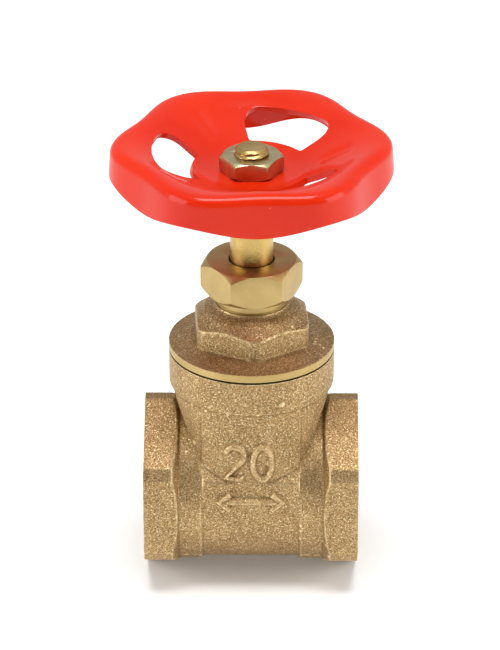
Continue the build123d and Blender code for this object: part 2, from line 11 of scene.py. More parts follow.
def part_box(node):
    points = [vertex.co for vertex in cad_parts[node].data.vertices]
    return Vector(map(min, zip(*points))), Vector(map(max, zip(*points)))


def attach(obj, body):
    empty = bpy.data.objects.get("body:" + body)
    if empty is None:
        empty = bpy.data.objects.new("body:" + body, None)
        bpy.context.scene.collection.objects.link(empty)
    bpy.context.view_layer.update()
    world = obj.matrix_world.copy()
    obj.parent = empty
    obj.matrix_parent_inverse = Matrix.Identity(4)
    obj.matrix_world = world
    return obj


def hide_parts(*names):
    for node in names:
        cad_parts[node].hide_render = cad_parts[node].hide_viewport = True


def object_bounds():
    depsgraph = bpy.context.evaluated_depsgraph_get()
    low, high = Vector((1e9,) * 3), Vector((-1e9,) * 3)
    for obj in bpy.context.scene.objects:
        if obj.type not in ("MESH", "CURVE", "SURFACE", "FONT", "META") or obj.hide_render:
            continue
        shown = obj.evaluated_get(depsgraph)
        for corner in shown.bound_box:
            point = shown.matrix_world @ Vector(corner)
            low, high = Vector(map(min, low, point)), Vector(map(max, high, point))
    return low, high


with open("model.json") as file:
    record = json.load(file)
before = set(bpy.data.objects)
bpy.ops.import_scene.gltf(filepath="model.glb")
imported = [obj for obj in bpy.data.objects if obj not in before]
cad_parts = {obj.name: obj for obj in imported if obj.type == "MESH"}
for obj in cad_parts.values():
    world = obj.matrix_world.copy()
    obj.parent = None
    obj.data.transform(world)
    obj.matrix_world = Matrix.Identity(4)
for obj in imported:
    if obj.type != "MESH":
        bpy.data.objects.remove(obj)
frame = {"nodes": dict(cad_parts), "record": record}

cad_low, cad_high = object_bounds()

# ---------------------------------------------------------------- sizes
MM = 0.001                       # one millimetre in metres

body_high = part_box("body")[1]
gasket_low, gasket_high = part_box("bonnet_gasket")
bonnet_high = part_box("bonnet")[1]
wheel_low, wheel_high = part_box("handwheel")
nut_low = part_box("wheel_nut")[0]
gland_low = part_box("gland_nut")[0]
stem_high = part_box("stem")[1]
mounts = {mount["name"]: mount for mount in frame["record"]["mounts"]}

FACE_X = body_high.x
RING_TOP = gasket_low.z
FLANGE_RADIUS = bonnet_high.x
THREAD_RADIUS = mounts["outlet_thread"]["dims"]["r_mm"] * MM
WATERWAY_RADIUS = mounts["waterway"]["dims"]["r_mm"] * MM
THREAD_INNER_X = mounts["waterway"]["dims"]["length_mm"] * MM / 2
THREAD_PITCH = 1.814 * MM
THREAD_DEPTH = 1.16 * MM
MOUTH_CHAMFER = 0.9 * MM
PLUG_OVERLAP = 0.3 * MM          # how far a bore plug reaches into the wall behind it
PLUG_WALL_OVERLAP = 0.4 * MM
PLUG_MOUTH_OVERLAP = 1.7 * MM
CUTTER_REACH = 60.0 * MM         # half the width of a facing cut, well past the body
CAST_VOXEL = 0.2 * MM
CAST_SMOOTHING = 7
STOCK = 1.0 * MM                 # extra metal on faces that are machined after casting
SAME_PLACE = 0.01 * MM

# the relief stands on the bowed upper front of the chamber, and lower down on its flat front
CHAMBER_BOW_RADIUS = 17.4 * MM
CHAMBER_HALF_DEPTH = 14.35 * MM
RELIEF_RISE = 0.95 * MM

# places and lengths of the relief and the pimples, in millimetres
RELIEF_FLAT_Z = 6.6
NUMBER_X, NUMBER_Z, NUMBER_STROKE = -0.4, 10.9, 1.2
NUMBER_HALF_HEIGHT = 3.3
TWO_FOOT = -3.2                  # below the middle of the number
ARROW_Z, ARROW_HALF, ARROW_STROKE = 3.0, 5.6, 1.15
ARROW_HEAD_RISE = 1.6
ARROW_HEAD_BACK = 1.9
ARROW_TIP_PAST = 0.2
CASTING_PIMPLES = [(5.4, -13.7, 22.6, 0.75), (-14.9, -12.9, 6.0, 0.5), (15.6, -13.4, -1.5, 0.5)]

# bonnet
BONNET_VOXEL = 0.2 * MM
BONNET_SMOOTHING = 5
FLANGE_EDGE_HEIGHT = 1.25 * MM
FLANGE_EDGE_TOP = gasket_high.z + FLANGE_EDGE_HEIGHT
NOSE_RADIUS = 6.5 * MM
TURNED_NECK_RADIUS = 6.05 * MM
TURNED_NECK_HEIGHT = 2.15 * MM
TURNED_NECK_Z = gland_low.z - TURNED_NECK_HEIGHT

# nuts and the threaded end of the stem
EDGE_EASE = 0.14 * MM
STUB_THREAD_RADIUS = 3.0 * MM
STUB_THREAD_DEPTH = 0.45 * MM
STUB_PITCH = 1.0 * MM
STUB_CHAMFER = 0.55 * MM
STUB_CHAMFER_INSET = 0.05 * MM   # the chamfer starts this far inside the thread's crest
ROOT_FLAT = 0.12                 # share of a thread's half pitch that its root keeps flat
FLANK_SHARE = 0.76               # share that its flank takes
TIP_COVER = 0.02 * MM            # how far the threaded tip covers the plain end under it

# handwheel
WHEEL_LOBES = 6
FIRST_LOBE = math.radians(64.0)
HUB_TOP = nut_low.z
WHEEL_SHEET = 1.2 * MM
WHEEL_HOLE = 3.35 * MM
HUB_ROWS = [v * MM for v in (4.4, 5.6, 6.7, 7.8, 8.8, 9.7)]
HUB_CIRCLE = 10.5 * MM
WINDOW_INNER_HALF = math.radians(29.0)
WINDOW_OUTER_HALF = math.radians(35.0)
WINDOW_TOP = 17.5 * MM
OUTER_CORNER = 4.2 * MM
INNER_CORNER = 0.4 * MM
DISH_RADII = [v * MM for v in (0.0, 6.2, 8.0, 9.4, 10.5, 12.0, 13.5, 15.0, 16.5, 17.8)]
DISH_RISES = [v * MM for v in (0.0, 0.0, 0.16, 0.50, 0.95, 1.62, 2.36, 3.10, 3.80, 4.40)]
CREST_TOP = wheel_high.z
CREST_RADIUS = 22.05 * MM
CREST_SWING = 1.15 * MM
RIM_ROUND = 1.7 * MM
SKIRT_RADIUS = 24.1 * MM
SKIRT_SWING = 1.08 * MM
SKIRT_NOTCH = wheel_low.z
SKIRT_LOBE_DROP = 0.05 * MM
SKIRT_LOBE = HUB_TOP - SKIRT_LOBE_DROP
WHEEL_LEAN = math.tan(math.radians(1.5))     # the pressing sits a little low at the front
LEAN_START, LEAN_FULL = 6.0 * MM, 12.0 * MM
GROOVE_START, GROOVE_END = 11.6 * MM, 19.2 * MM
GROOVE_HALF_WIDTH = 1.15 * MM
GROOVE_DEPTH = 0.5 * MM
GROOVE_FADE = 0.6                # below 1 the groove keeps its depth nearer to its ends
WINDOW_COLUMNS = 28
SPOKE_COLUMNS = 22
RIM_CREASE = 0.55


# ---------------------------------------------------------------- mesh helpers
def link(obj):
    bpy.context.scene.collection.objects.link(obj)
    return obj


def mesh_object(name, vertices, faces):
    mesh = bpy.data.meshes.new(name)
    mesh.from_pydata([tuple(v) for v in vertices], [], [tuple(f) for f in faces])
    mesh.update()
    return link(bpy.data.objects.new(name, mesh))


def settle(obj):
    """Apply every modifier of a piece, in order."""
    bpy.context.view_layer.update()
    graph = bpy.context.evaluated_depsgraph_get()
    made = bpy.data.meshes.new_from_object(obj.evaluated_get(graph))
    obj.modifiers.clear()
    obj.data = made
    return obj


def discard(*objs):
    for obj in objs:
        bpy.data.objects.remove(obj)


def smooth(obj, angle):
    """Shade smooth, with edges sharper than angle left crisp."""
    obj.data.shade_smooth()
    obj.data.set_sharp_from_angle(angle=math.radians(angle))
    return obj


def turned(name, profile, steps=192):
    """Closed solid turned about Z from (radius, z) points; it may start and end on the axis."""
    vertices, faces, rings = [], [], []
    for radius, z in profile:
        if radius == 0:
            rings.append([len(vertices)] * steps)
            vertices.append((0, 0, z))
            continue
        start = len(vertices)
        rings.append([start + i for i in range(steps)])
        for i in range(steps):
            angle = 2 * math.pi * i / steps
            vertices.append((radius * math.cos(angle), radius * math.sin(angle), z))
    closed = profile[0][0] != 0
    pairs = list(zip(rings, rings[1:])) + ([(rings[-1], rings[0])] if closed else [])
    for low, high in pairs:
        for i in range(steps):
            j = (i + 1) % steps
            corners = [low[i], low[j], high[j], high[i]]
            face = list(dict.fromkeys(corners))
            if len(face) > 2:
                faces.append(face)
    return mesh_object(name, vertices, faces)


def point_normals_out(obj):
    edit = bmesh.new()
    edit.from_mesh(obj.data)
    bmesh.ops.recalc_face_normals(edit, faces=edit.faces)
    edit.to_mesh(obj.data)
    edit.free()
    return obj


def join(name, objs):
    """One mesh from several, with none of their modifiers."""
    joined = bmesh.new()
    for obj in objs:
        joined.from_mesh(obj.data)
    mesh = bpy.data.meshes.new(name)
    joined.to_mesh(mesh)
    joined.free()
    return link(bpy.data.objects.new(name, mesh))


def cut(obj, cutter):
    """Take the cutter out of the piece; the cut faces take the cutter's material."""
    tool = obj.modifiers.new("cut", "BOOLEAN")
    tool.operation = "DIFFERENCE"
    tool.solver = "MANIFOLD"
    tool.object = cutter
    tool.material_mode = "TRANSFER"
    settle(obj)
    discard(cutter)
    return obj


def cad_copy(node, name):
    """A free copy of a CAD node's mesh to work on, with its split corners merged."""
    copy = bpy.data.objects.new(name, frame["nodes"][node].data.copy())
    edit = bmesh.new()
    edit.from_mesh(copy.data)
    bmesh.ops.remove_doubles(edit, verts=edit.verts, dist=0.0005 * MM)
    edit.to_mesh(copy.data)
    edit.free()
    copy.data.materials.clear()
    return link(copy)


def as_cast(obj, voxel=CAST_VOXEL, smoothing=CAST_SMOOTHING):
    """Melt a piece's joined solids into one skin with soft edges, as sand casting leaves them."""
    melt = obj.modifiers.new("melt", "REMESH")
    melt.mode = "VOXEL"
    melt.voxel_size = voxel
    melt.adaptivity = 0.0
    settle(obj)
    soften = obj.modifiers.new("soften", "SMOOTH")
    soften.factor = 0.5
    soften.iterations = smoothing
    return settle(obj)


# ---------------------------------------------------------------- shader helpers
def new_group(name, inputs, outputs):
    """Shader group with named number inputs, given as (name, value), and named outputs."""
    tree = bpy.data.node_groups.new(name, "ShaderNodeTree")
    for label, value in inputs:
        socket = tree.interface.new_socket(label, in_out="INPUT", socket_type="NodeSocketFloat")
        socket.default_value = value
    for label in outputs:
        tree.interface.new_socket(label, in_out="OUTPUT", socket_type="NodeSocketFloat")
    return tree, tree.nodes.new("NodeGroupInput"), tree.nodes.new("NodeGroupOutput")


def add(tree, kind, **settings):
    """New node; names that match an input set its value, the others are node settings."""
    node = tree.nodes.new("ShaderNode" + kind)
    for key, value in settings.items():
        if hasattr(node, key):
            setattr(node, key, value)
        else:
            node.inputs[key.replace("_", " ")].default_value = value
    return node


def wire(tree, source, target):
    tree.links.new(source, target)


def math_node(tree, operation, first, second=None):
    """Arithmetic on sockets or plain numbers."""
    node = tree.nodes.new("ShaderNodeMath")
    node.operation = operation
    for index, value in enumerate((first, second)):
        if isinstance(value, (int, float)):
            node.inputs[index].default_value = value
        elif value is not None:
            tree.links.new(value, node.inputs[index])
    return node.outputs[0]


def ramp(tree, value, low, high):
    """0 at low, 1 at high, straight between and level beyond; low may be the greater of the two."""
    node = tree.nodes.new("ShaderNodeMapRange")
    node.inputs["From Min"].default_value = low
    node.inputs["From Max"].default_value = high
    tree.links.new(value, node.inputs["Value"])
    return node.outputs["Result"]


def tint(tree, mask, dark, light):
    """Colour between dark and light by a mask socket; each may itself be a socket."""
    node = tree.nodes.new("ShaderNodeMix")
    node.data_type = "RGBA"
    tree.links.new(mask, node.inputs["Factor"])
    for name, value in (("A", dark), ("B", light)):
        socket = next(s for s in node.inputs if s.name == name and s.type == "RGBA")
        if isinstance(value, tuple):
            socket.default_value = (*value, 1.0)
        else:
            tree.links.new(value, socket)
    return next(s for s in node.outputs if s.type == "RGBA")


def new_material(name):
    material = bpy.data.materials.new(name)
    material.use_nodes = True
    tree = material.node_tree
    return material, tree, tree.nodes["Principled BSDF"]


def use_group(tree, group, **values):
    node = tree.nodes.new("ShaderNodeGroup")
    node.node_tree = group
    for key, value in values.items():
        node.inputs[key].default_value = value
    return node


def bump(tree, shader, height, distance, strength=1.0):
    """Relief from a height socket, distance in metres."""
    node = tree.nodes.new("ShaderNodeBump")
    node.inputs["Strength"].default_value = strength
    node.inputs["Distance"].default_value = distance
    tree.links.new(height, node.inputs["Height"])
    tree.links.new(node.outputs["Normal"], shader.inputs["Normal"])
    return node


# ---------------------------------------------------------------- shared effects
def make_sand_grain():
    """Blasted sand-cast surface: grit, bright facets painted on as glints, and broad colour drift."""
    tree, given, out = new_group(
        "sand_grain", [("Grain", 0.28), ("Sparkle", 0.5)], ["Height", "Shade", "Glints", "Drift"]
    )
    place = add(tree, "TexCoord").outputs["Object"]
    per_metre = math_node(tree, "DIVIDE", 1000.0, given.outputs["Grain"])
    grit = add(tree, "TexNoise", Detail=3.0, Roughness=0.65)
    wire(tree, place, grit.inputs["Vector"])
    wire(tree, per_metre, grit.inputs["Scale"])
    lumps = add(tree, "TexNoise", Detail=2.0, Roughness=0.5)
    wire(tree, place, lumps.inputs["Vector"])
    wire(tree, math_node(tree, "MULTIPLY", per_metre, 0.3), lumps.inputs["Scale"])
    facets = add(tree, "TexVoronoi", feature="F1")
    wire(tree, place, facets.inputs["Vector"])
    wire(tree, math_node(tree, "MULTIPLY", per_metre, 0.9), facets.inputs["Scale"])
    cell = add(tree, "SeparateColor")
    wire(tree, facets.outputs["Color"], cell.inputs["Color"])
    # the brightest cells near their centres become painted glints
    bright = ramp(tree, cell.outputs[0], 0.60, 0.98)
    near = ramp(tree, facets.outputs["Distance"], 0.62, 0.2)
    lit = math_node(tree, "MULTIPLY", bright, near)
    spots = math_node(tree, "MULTIPLY", lit, given.outputs["Sparkle"])
    drift = add(tree, "TexNoise", Scale=130.0, Detail=4.0, Roughness=0.55)
    wire(tree, place, drift.inputs["Vector"])
    mix = math_node(tree, "MULTIPLY", grit.outputs[0], 0.7)
    mix = math_node(tree, "ADD", mix, math_node(tree, "MULTIPLY", lumps.outputs[0], 0.55))
    mix = math_node(tree, "ADD", mix, math_node(tree, "MULTIPLY", cell.outputs[2], 0.3))
    wire(tree, mix, out.inputs["Height"])
    wire(tree, ramp(tree, grit.outputs[0], 0.38, 0.62), out.inputs["Shade"])
    wire(tree, spots, out.inputs["Glints"])
    wire(tree, ramp(tree, drift.outputs[0], 0.35, 0.65), out.inputs["Drift"])
    return tree


def make_edge_wear_sheen_and_shade():
    """Masks of the edges that handling and blasting have brightened, partly worn metal and partly
    painted highlight, and of the hollows, where painted shade darkens the creases.
    """
    tree, given, out = new_group("edge_wear_sheen_and_shade", [("Low", 0.52), ("High", 0.6)], ["Mask", "Hollow"])
    sharp = add(tree, "NewGeometry").outputs["Pointiness"]
    # edge mask by pointiness: partly real wear, partly a painted highlight along the edges
    node = tree.nodes.new("ShaderNodeMapRange")
    wire(tree, sharp, node.inputs["Value"])
    wire(tree, given.outputs["Low"], node.inputs["From Min"])
    wire(tree, given.outputs["High"], node.inputs["From Max"])
    place = add(tree, "TexCoord").outputs["Object"]
    ragged = add(tree, "TexNoise", Scale=900.0, Detail=2.0)
    wire(tree, place, ragged.inputs["Vector"])
    gaps = ramp(tree, ragged.outputs[0], 0.3, 0.6)
    broken = math_node(tree, "MULTIPLY", node.outputs["Result"], gaps)
    wire(tree, broken, out.inputs["Mask"])
    # hollow mask: painted shade, rising where the surface is concave
    wire(tree, ramp(tree, sharp, 0.492, 0.455), out.inputs["Hollow"])
    return tree


def make_turning_marks():
    """Fine rings that a lathe tool leaves round the stem axis, and broad tarnish."""
    tree, given, out = new_group(
        "turning_marks", [("Pitch", 0.12), ("Waver", 0.4)], ["Height", "Tarnish"]
    )
    place = add(tree, "TexCoord").outputs["Object"]
    parts = add(tree, "SeparateXYZ")
    wire(tree, place, parts.inputs[0])
    square_x = math_node(tree, "MULTIPLY", parts.outputs[0], parts.outputs[0])
    square_y = math_node(tree, "MULTIPLY", parts.outputs[1], parts.outputs[1])
    radius = math_node(tree, "SQRT", math_node(tree, "ADD", square_x, square_y))
    along = math_node(tree, "ADD", radius, parts.outputs[2])
    in_mm = math_node(tree, "MULTIPLY", along, 1000.0)
    turns = math_node(tree, "DIVIDE", in_mm, given.outputs["Pitch"])
    waver = add(tree, "TexNoise", Scale=260.0, Detail=3.0)
    wire(tree, place, waver.inputs["Vector"])
    wander = math_node(tree, "MULTIPLY", waver.outputs[0], given.outputs["Waver"])
    moved = math_node(tree, "ADD", turns, wander)
    wave = math_node(tree, "SINE", math_node(tree, "MULTIPLY", moved, 2 * math.pi))
    scratch = add(tree, "TexNoise", Scale=2600.0, Detail=2.0)
    wire(tree, place, scratch.inputs["Vector"])
    height = math_node(tree, "ADD", math_node(tree, "MULTIPLY", wave, 0.35), scratch.outputs[0])
    wire(tree, height, out.inputs["Height"])
    tarnish = add(tree, "TexNoise", Scale=180.0, Detail=5.0, Roughness=0.6)
    wire(tree, place, tarnish.inputs["Vector"])
    wire(tree, ramp(tree, tarnish.outputs[0], 0.38, 0.66), out.inputs["Tarnish"])
    return tree


# ---------------------------------------------------------------- materials
def make_cast_brass(grain, wear):
    material, tree, shader = new_material("sand_cast_brass")
    sand = use_group(tree, grain, Grain=0.22, Sparkle=0.8)
    wear_sheen_and_shade = use_group(tree, wear, Low=0.508, High=0.55)
    dark = tint(tree, sand.outputs["Drift"], (0.165, 0.098, 0.038), (0.215, 0.135, 0.056))
    light = tint(tree, sand.outputs["Drift"], (0.51, 0.335, 0.148), (0.60, 0.41, 0.19))
    base = tint(tree, sand.outputs["Shade"], dark, light)
    # painted glints: near-white spots on the brightest grit cells
    base = tint(tree, sand.outputs["Glints"], base, (1.0, 0.86, 0.55))
    # painted shade: creases and hollows darkened to brown, as if in shadow
    painted_crease_shade = math_node(tree, "MULTIPLY", wear_sheen_and_shade.outputs["Hollow"], 0.7)
    base = tint(tree, painted_crease_shade, base, (0.16, 0.09, 0.03))
    # edges lightened: partly worn brass, partly a painted highlight along the edges
    base = tint(tree, wear_sheen_and_shade.outputs["Mask"], base, (0.90, 0.71, 0.40))
    wire(tree, base, shader.inputs["Base Color"])
    shader.inputs["Metallic"].default_value = 0.92
    rough = math_node(tree, "SUBTRACT", 0.54, math_node(tree, "MULTIPLY", sand.outputs["Glints"], 0.3))
    wire(tree, rough, shader.inputs["Roughness"])
    bump(tree, shader, sand.outputs["Height"], 0.09 * MM, 1.0)
    return material


def make_machined_brass(marks):
    material, tree, shader = new_material("machined_brass")
    lathe = use_group(tree, marks, Pitch=0.16, Waver=0.5)
    base = tint(tree, lathe.outputs["Tarnish"], (0.42, 0.30, 0.115), (0.50, 0.365, 0.155))
    wire(tree, base, shader.inputs["Base Color"])
    shader.inputs["Metallic"].default_value = 1.0
    rough = math_node(tree, "ADD", 0.40, math_node(tree, "MULTIPLY", lathe.outputs["Tarnish"], 0.06))
    wire(tree, rough, shader.inputs["Roughness"])
    bump(tree, shader, lathe.outputs["Height"], 0.006 * MM, 0.4)
    return material


def make_stem_brass(marks):
    material, tree, shader = new_material("stem_brass")
    lathe = use_group(tree, marks, Pitch=0.22, Waver=0.3)
    base = tint(tree, lathe.outputs["Tarnish"], (0.45, 0.31, 0.10), (0.60, 0.43, 0.165))
    wire(tree, base, shader.inputs["Base Color"])
    shader.inputs["Metallic"].default_value = 1.0
    rough = math_node(tree, "ADD", 0.24, math_node(tree, "MULTIPLY", lathe.outputs["Tarnish"], 0.16))
    wire(tree, rough, shader.inputs["Roughness"])
    bump(tree, shader, lathe.outputs["Height"], 0.02 * MM, 0.6)
    return material


def make_red_enamel():
    material, tree, shader = new_material("red_enamel")
    place = add(tree, "TexCoord").outputs["Object"]
    peel = add(tree, "TexNoise", Scale=420.0, Detail=2.0, Roughness=0.5)
    wire(tree, place, peel.inputs["Vector"])
    drift = add(tree, "TexNoise", Scale=60.0, Detail=3.0)
    wire(tree, place, drift.inputs["Vector"])
    thin = ramp(tree, drift.outputs[0], 0.3, 0.7)
    base = tint(tree, thin, (0.56, 0.014, 0.001), (0.63, 0.022, 0.002))
    dust = add(tree, "TexVoronoi", feature="F1", Scale=900.0)
    wire(tree, place, dust.inputs["Vector"])
    rare = add(tree, "SeparateColor")
    wire(tree, dust.outputs["Color"], rare.inputs["Color"])
    few = ramp(tree, rare.outputs[0], 0.985, 0.995)
    small = ramp(tree, dust.outputs["Distance"], 0.2, 0.1)
    specks = math_node(tree, "MULTIPLY", few, small)
    base = tint(tree, specks, base, (0.9, 0.35, 0.25))
    wire(tree, base, shader.inputs["Base Color"])
    shader.inputs["Roughness"].default_value = 0.35
    shader.inputs["Specular IOR Level"].default_value = 0.08
    shader.inputs["Coat Weight"].default_value = 0.34
    shader.inputs["Coat Roughness"].default_value = 0.04
    bump(tree, shader, peel.outputs[0], 0.02 * MM, 0.35)
    return material


def make_plated_steel(wear):
    material, tree, shader = new_material("yellow_plated_steel")
    place = add(tree, "TexCoord").outputs["Object"]
    cloud = add(tree, "TexNoise", Scale=240.0, Detail=4.0)
    wire(tree, place, cloud.inputs["Vector"])
    base = tint(tree, ramp(tree, cloud.outputs[0], 0.35, 0.65), (0.42, 0.34, 0.17), (0.58, 0.50, 0.29))
    wear_sheen_and_shade = use_group(tree, wear, Low=0.52, High=0.6)
    # edges lightened: partly worn plating, partly a painted highlight along the edges
    base = tint(tree, wear_sheen_and_shade.outputs["Mask"], base, (0.80, 0.72, 0.50))
    wire(tree, base, shader.inputs["Base Color"])
    shader.inputs["Metallic"].default_value = 1.0
    rough = math_node(tree, "ADD", 0.26, math_node(tree, "MULTIPLY", cloud.outputs[0], 0.15))
    wire(tree, rough, shader.inputs["Roughness"])
    grind = add(tree, "TexNoise", Scale=1900.0, Detail=2.0)
    wire(tree, place, grind.inputs["Vector"])
    bump(tree, shader, grind.outputs[0], 0.02 * MM, 0.4)
    return material


def make_plain_finish(name, colour, light, roughness, scale):
    """Non-metal with a fine mottled grain, for the seals."""
    material, tree, shader = new_material(name)
    place = add(tree, "TexCoord").outputs["Object"]
    grain = add(tree, "TexNoise", Scale=scale, Detail=3.0)
    wire(tree, place, grain.inputs["Vector"])
    base = tint(tree, grain.outputs[0], colour, light)
    wire(tree, base, shader.inputs["Base Color"])
    shader.inputs["Roughness"].default_value = roughness
    bump(tree, shader, grain.outputs[0], 0.02 * MM, 0.5)
    return material


sand_grain = make_sand_grain()
edge_wear_sheen_and_shade = make_edge_wear_sheen_and_shade()
turning_marks = make_turning_marks()
cast_brass = make_cast_brass(sand_grain, edge_wear_sheen_and_shade)
machined_brass = make_machined_brass(turning_marks)
stem_brass = make_stem_brass(turning_marks)
red_enamel = make_red_enamel()
plated_steel = make_plated_steel(edge_wear_sheen_and_shade)
gasket_fibre = make_plain_finish(
    "gasket_fibre", (0.012, 0.011, 0.01), (0.03, 0.028, 0.025), roughness=0.85, scale=2200.0
)
packing_white = make_plain_finish(
    "packing_white", (0.78, 0.78, 0.74), (0.88, 0.88, 0.85), roughness=0.45, scale=900.0
)

NODE_FINISH = {
    "body": cast_brass,
    "bonnet": cast_brass,
    "bonnet_gasket": gasket_fibre,
    "stem": stem_brass,
    "lower_thrust_washer": machined_brass,
    "upper_thrust_washer": machined_brass,
    "packing_ring_lower": packing_white,
    "packing_ring_middle": packing_white,
    "packing_ring_upper": packing_white,
    "gland_follower": machined_brass,
    "gland_nut": machined_brass,
    "wedge": cast_brass,
    "handwheel": red_enamel,
    "wheel_nut": plated_steel,
}
for node_name, finish in NODE_FINISH.items():
    node_mesh = frame["nodes"][node_name].data
    node_mesh.materials.clear()
    node_mesh.materials.append(finish)


# ---------------------------------------------------------------- threads
def screw_radius(turn, along, pitch, root, crest):
    """Radius of a rounded thread at a turn (0 to 1) and a distance along its axis."""
    phase = (along / pitch - turn) % 1.0
    flank = 1.0 - abs(2.0 * phase - 1.0)
    lifted = min(1.0, max(0.0, (flank - ROOT_FLAT) / FLANK_SHARE))
    return root + (crest - root) * lifted


def threaded_bar(name, places, radius_at, steps=120):
    """Closed bar along Z through the given heights, its radius a function of turn and height."""
    vertices, faces = [], []
    for z in places:
        for i in range(steps):
            radius = radius_at(i / steps, z)
            angle = 2 * math.pi * i / steps
            vertices.append((radius * math.cos(angle), radius * math.sin(angle), z))
    for row in range(len(places) - 1):
        for i in range(steps):
            j = (i + 1) % steps
            low, high = row * steps, (row + 1) * steps
            faces.append((low + i, low + j, high + j, high + i))
    for row, flip in ((0, True), (len(places) - 1, False)):
        centre = len(vertices)
        vertices.append((0, 0, places[row]))
        for i in range(steps):
            rim = (row * steps + i, row * steps + (i + 1) % steps)
            faces.append((rim[1], rim[0], centre) if flip else (rim[0], rim[1], centre))
    return mesh_object(name, vertices, faces)


def spread(low, high, step):
    """Evenly spaced values from low to high, at most step apart."""
    count = max(2, math.ceil((high - low) / step) + 1)
    return [float(v) for v in np.linspace(low, high, count)]


def lay_along_pipe(obj, side):
    """Turn a bar drawn along Z so that it runs along +X or -X."""
    obj.data.transform(Matrix.Rotation(side * math.pi / 2, 4, "Y"))
    return obj


def with_finish(obj, *materials):
    obj.data.materials.clear()
    for material in materials:
        obj.data.materials.append(material)
    return obj


# ---------------------------------------------------------------- cast body
def stretch_machined_faces(obj):
    """Leave machining stock on the pipe ends and on the top of the ring."""
    for vertex in obj.data.vertices:
        place = vertex.co
        if abs(place.x) > FACE_X - SAME_PLACE:
            place.x += math.copysign(STOCK, place.x)
        if place.z > RING_TOP - SAME_PLACE:
            place.z += STOCK


def bore_plug(side):
    """Metal that fills one threaded pipe end until it is tapped."""
    inner = THREAD_INNER_X - PLUG_OVERLAP
    radius = THREAD_RADIUS + PLUG_WALL_OVERLAP
    plug = turned("bore_plug", [
        (0, inner),
        (radius, inner),
        (radius, FACE_X - MOUTH_CHAMFER),
        (THREAD_RADIUS + PLUG_MOUTH_OVERLAP, FACE_X + STOCK),
        (0, FACE_X + STOCK),
    ])
    return lay_along_pipe(point_normals_out(plug), side)


def raised_stroke(points, width, closed=False):
    """Rounded bar that follows (x, z) points, in millimetres, on the front of the chamber."""
    curve = bpy.data.curves.new("raised_stroke", "CURVE")
    curve.dimensions = "3D"
    curve.bevel_depth = width / 2 * MM
    curve.bevel_resolution = 4
    curve.use_fill_caps = True
    spline = curve.splines.new("POLY")
    spline.points.add(len(points) - 1)
    for spot, (x, z) in zip(spline.points, points):
        bow = CHAMBER_BOW_RADIUS - math.sqrt(CHAMBER_BOW_RADIUS**2 - (x * MM) ** 2)
        sloped = max(0.0, z - RELIEF_FLAT_Z) * MM
        front = CHAMBER_HALF_DEPTH - min(bow, sloped)
        spot.co = (x * MM, -front - (RELIEF_RISE - width / 2 * MM), z * MM, 1.0)
    spline.use_cyclic_u = closed
    bar = link(bpy.data.objects.new("raised_stroke", curve))
    mesh = bpy.data.meshes.new_from_object(bar)
    discard(bar)
    return link(bpy.data.objects.new("raised_stroke", mesh))


def arc_points(centre_x, centre_z, radius_x, radius_z, start, end, count):
    """Points of an elliptical arc, angles in degrees from +X towards +Z."""
    points = []
    for angle in np.linspace(math.radians(start), math.radians(end), count):
        points.append((centre_x + radius_x * math.cos(angle), centre_z + radius_z * math.sin(angle)))
    return points


def make_relief():
    """Cast size number over a two-way flow arrow."""
    two = arc_points(NUMBER_X - 2.45, NUMBER_Z + 1.6, 1.65, 1.75, 165, -35, 12)
    two += [(NUMBER_X - 4.15, NUMBER_Z + TWO_FOOT), (NUMBER_X - 0.75, NUMBER_Z + TWO_FOOT)]
    nought = arc_points(NUMBER_X + 2.45, NUMBER_Z, 1.7, NUMBER_HALF_HEIGHT, 0, 345, 24)
    strokes = [raised_stroke(two, NUMBER_STROKE), raised_stroke(nought, NUMBER_STROKE, closed=True)]
    shaft = [(x, ARROW_Z) for x in np.linspace(-ARROW_HALF, ARROW_HALF, 9)]
    strokes.append(raised_stroke(shaft, ARROW_STROKE))
    for side in (-1, 1):
        tip = side * (ARROW_HALF + ARROW_TIP_PAST)
        back = side * (ARROW_HALF - ARROW_HEAD_BACK)
        head = [(back, ARROW_Z + ARROW_HEAD_RISE), (tip, ARROW_Z), (back, ARROW_Z - ARROW_HEAD_RISE)]
        strokes.append(raised_stroke(head, ARROW_STROKE))
    return strokes


def make_pimples():
    """Small lumps left on the casting by holes in the sand."""
    pieces = []
    for x, y, z, size in CASTING_PIMPLES:
        edit = bmesh.new()
        bmesh.ops.create_icosphere(edit, subdivisions=2, radius=size * MM)
        for vertex in edit.verts:
            vertex.co = vertex.co + Vector((x, y, z)) * MM
        mesh = bpy.data.meshes.new("pimple")
        edit.to_mesh(mesh)
        edit.free()
        pieces.append(link(bpy.data.objects.new("pimple", mesh)))
    return pieces


def facing_cut(low, high):
    """Flat milling cut, as a block between two corners."""
    corners = list(itertools.product(*zip(low, high)))
    faces = [(0, 1, 3, 2), (4, 6, 7, 5), (0, 4, 5, 1), (2, 3, 7, 6), (0, 2, 6, 4), (1, 5, 7, 3)]
    return point_normals_out(mesh_object("facing_cut", corners, faces))


def tap(side):
    """Tool of the inside pipe thread and its lead-in chamfer."""
    minor = THREAD_RADIUS - THREAD_DEPTH

    def radius_at(turn, x):
        chamfer = THREAD_RADIUS + x - (FACE_X - MOUTH_CHAMFER)
        return max(screw_radius(turn, x, THREAD_PITCH, minor, THREAD_RADIUS), chamfer)

    places = spread(THREAD_INNER_X, FACE_X + 2 * STOCK, THREAD_PITCH / 9)
    return lay_along_pipe(threaded_bar("tap", places, radius_at, steps=144), side)


